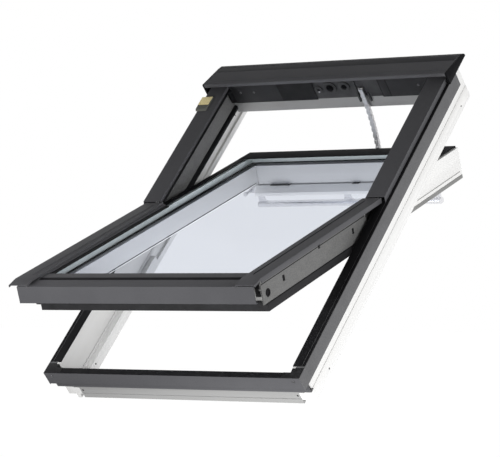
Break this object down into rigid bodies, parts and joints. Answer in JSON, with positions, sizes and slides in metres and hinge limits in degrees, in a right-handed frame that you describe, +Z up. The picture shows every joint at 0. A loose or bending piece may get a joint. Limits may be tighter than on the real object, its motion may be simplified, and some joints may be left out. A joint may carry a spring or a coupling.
{
  "type": "roof window",
  "caption": "Centre-pivot roof window in a pitched timber frame with grey metal cladding, a glazed sash tilted open by a drive chain, a top hood and a ventilation flap with a control bar.",
  "frame": {"origin": "middle of the bottom rail's front face, where the frame rests against the roof's lower batten", "axes": "+X to the right seen from outside, +Y level into the building, +Z up; the frame leans up at 45 degrees towards +Y"},
  "size_m": [0.807, 1.1476, 0.9556],
  "materials": {
    "white_timber": "white paint, satin",
    "cladding": "grey powder coat, satin",
    "rubber": "matte",
    "black_plastic": "matte",
    "steel": "zinc plated",
    "glass": "clear",
    "bar_metal": "anodised, satin",
    "spacer": "satin",
    "sensor_gold": "gold plated tracks"
  },
  "bodies": {
    "frame": {"frame_left_rail": "white_timber", "frame_right_rail": "white_timber", "frame_top_rail": "white_timber", "frame_bottom_rail": "white_timber", "frame_stop_left": "white_timber", "frame_stop_right": "white_timber", "frame_cover_left": "cladding", "frame_cover_right": "cladding", "frame_cover_bottom": "cladding", "corner_block_left": "black_plastic", "corner_block_right": "black_plastic", "upper_cover_left": "cladding", "upper_cover_right": "cladding", "frame_linings": "cladding", "frame_seals": "rubber", "frame_gasket_left": "rubber", "frame_gasket_right": "rubber", "upper_gasket_left": "rubber", "upper_gasket_right": "rubber", "hood": "cladding", "hood_cap_left": "black_plastic", "hood_cap_right": "black_plastic", "operator_cover": "black_plastic", "operator_housing": "black_plastic", "chain_outer_links": "steel", "chain_inner_links": "steel", "chain_pins": "steel", "rain_sensor_base": "black_plastic", "rain_sensor_pad": "sensor_gold", "frame_hinge_left": "steel", "frame_hinge_right": "steel", "cover_screws": "steel"},
    "sash": {"sash_left_rail": "white_timber", "sash_right_rail": "white_timber", "sash_top_rail": "white_timber", "sash_bottom_rail": "white_timber", "outer_pane": "glass", "inner_pane": "glass", "glass_spacer": "spacer", "glazing_seal": "rubber", "sash_cover_left": "cladding", "sash_cover_right": "cladding", "sash_cover_bottom": "cladding", "sash_trim_left": "cladding", "sash_trim_right": "cladding", "sash_trim_top": "cladding", "sash_clad_left": "cladding", "sash_clad_right": "cladding", "sash_seal": "rubber", "cover_clips": "black_plastic", "sash_hinge_left": "steel", "sash_hinge_right": "steel", "chain_bracket": "steel", "flap_lugs": "white_timber", "bolt_guide": "steel"},
    "vent_flap": {"vent_flap": "white_timber", "control_bar": "bar_metal", "bar_brackets": "black_plastic"},
    "barrel_bolt": {"barrel_bolt": "steel"}
  },
  "joints": [
    {"name": "sash_pivot", "type": "hinge", "parent": "frame", "child": "sash", "pos_m": [0, 0.37052, 0.48507], "axis": [-1, 0, 0], "range_deg": [-25, 0], "deforming": ["chain_outer_links", "chain_inner_links", "chain_pins"]},
    {"name": "vent_flap_hinge", "type": "hinge", "parent": "sash", "child": "vent_flap", "pos_m": [0, 0.85979, 0.58227], "axis": [1, 0, 0], "range_deg": [0, 35]},
    {"name": "bolt_slide", "type": "slide", "parent": "sash", "child": "barrel_bolt", "axis": [0, 0.9397, 0.342], "range_m": [0, 0.028]}
  ]
}
